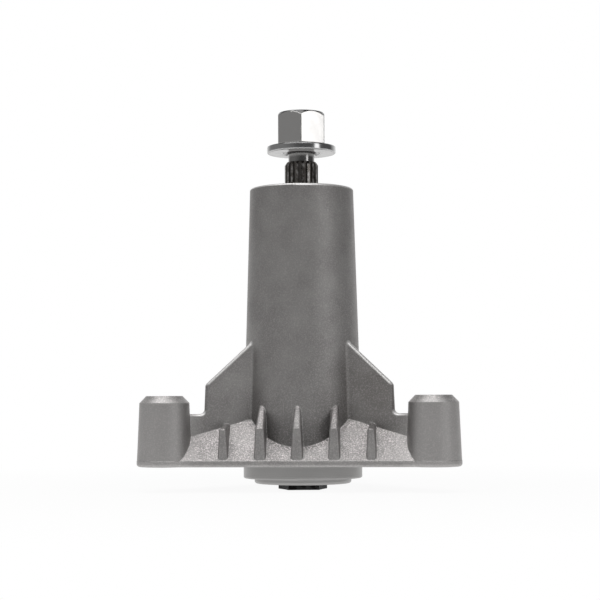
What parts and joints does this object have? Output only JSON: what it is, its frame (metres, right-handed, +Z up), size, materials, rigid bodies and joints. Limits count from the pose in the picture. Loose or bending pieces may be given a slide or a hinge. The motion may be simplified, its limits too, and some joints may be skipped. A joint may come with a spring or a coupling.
{
  "type": "mower deck spindle",
  "caption": "Cast housing with a tall tube and a three-boss base, carrying a splined shaft on sealed ball bearings, with a star drive below and a hexagon nut and washer above.",
  "frame": {"origin": "on the shaft's axis, in the face of the base that lies on the deck", "axes": "+Z up the shaft towards the nut, -Y towards the long straight front edge of the base between the two front bosses"},
  "size_m": [0.16, 0.1251, 0.1916],
  "materials": {
    "cast_aluminium": "as cast, fine grain",
    "shaft_steel": "dark heat-treated, bright on the tooth edges",
    "spacer_steel": "drawn tube",
    "zinc_nut": "bright zinc plate",
    "zinc_washer": "bright zinc plate",
    "ring_steel": "ground",
    "ball_steel": "polished",
    "cage_steel": "pressed sheet",
    "seal_rubber": "smooth black rubber"
  },
  "bodies": {
    "housing": {"housing": "cast_aluminium", "lower_outer_ring": "ring_steel", "lower_top_seal": "seal_rubber", "lower_bottom_seal": "seal_rubber", "upper_outer_ring": "ring_steel", "upper_top_seal": "seal_rubber", "upper_bottom_seal": "seal_rubber"},
    "spindle": {"shaft": "shaft_steel", "spacer_tube": "spacer_steel", "nut": "zinc_nut", "lower_inner_ring": "ring_steel", "upper_inner_ring": "ring_steel"},
    "washer": {"washer": "zinc_washer"},
    "lower_cage": {"lower_balls": "ball_steel", "lower_cage_top": "cage_steel", "lower_cage_bottom": "cage_steel", "lower_cage_rivets": "cage_steel"},
    "upper_cage": {"upper_balls": "ball_steel", "upper_cage_top": "cage_steel", "upper_cage_bottom": "cage_steel", "upper_cage_rivets": "cage_steel"}
  },
  "joints": [
    {"name": "shaft_spin", "type": "hinge", "parent": "housing", "child": "spindle", "pos_m": [0, 0, 0], "axis": [0, 0, 1], "continuous": true},
    {"name": "lower_cage_spin", "type": "hinge", "parent": "housing", "child": "lower_cage", "pos_m": [0, 0, -0.0026], "axis": [0, 0, 1], "continuous": true},
    {"name": "upper_cage_spin", "type": "hinge", "parent": "housing", "child": "upper_cage", "pos_m": [0, 0, 0.1323], "axis": [0, 0, 1], "continuous": true},
    {"name": "washer_spin", "type": "hinge", "parent": "spindle", "child": "washer", "pos_m": [0, 0, 0.16005], "axis": [0, 0, 1], "continuous": true}
  ],
  "couplings": [
    {"joint": "lower_cage_spin", "follows": "shaft_spin", "ratio": 0.3818},
    {"joint": "upper_cage_spin", "follows": "shaft_spin", "ratio": 0.3818}
  ]
}
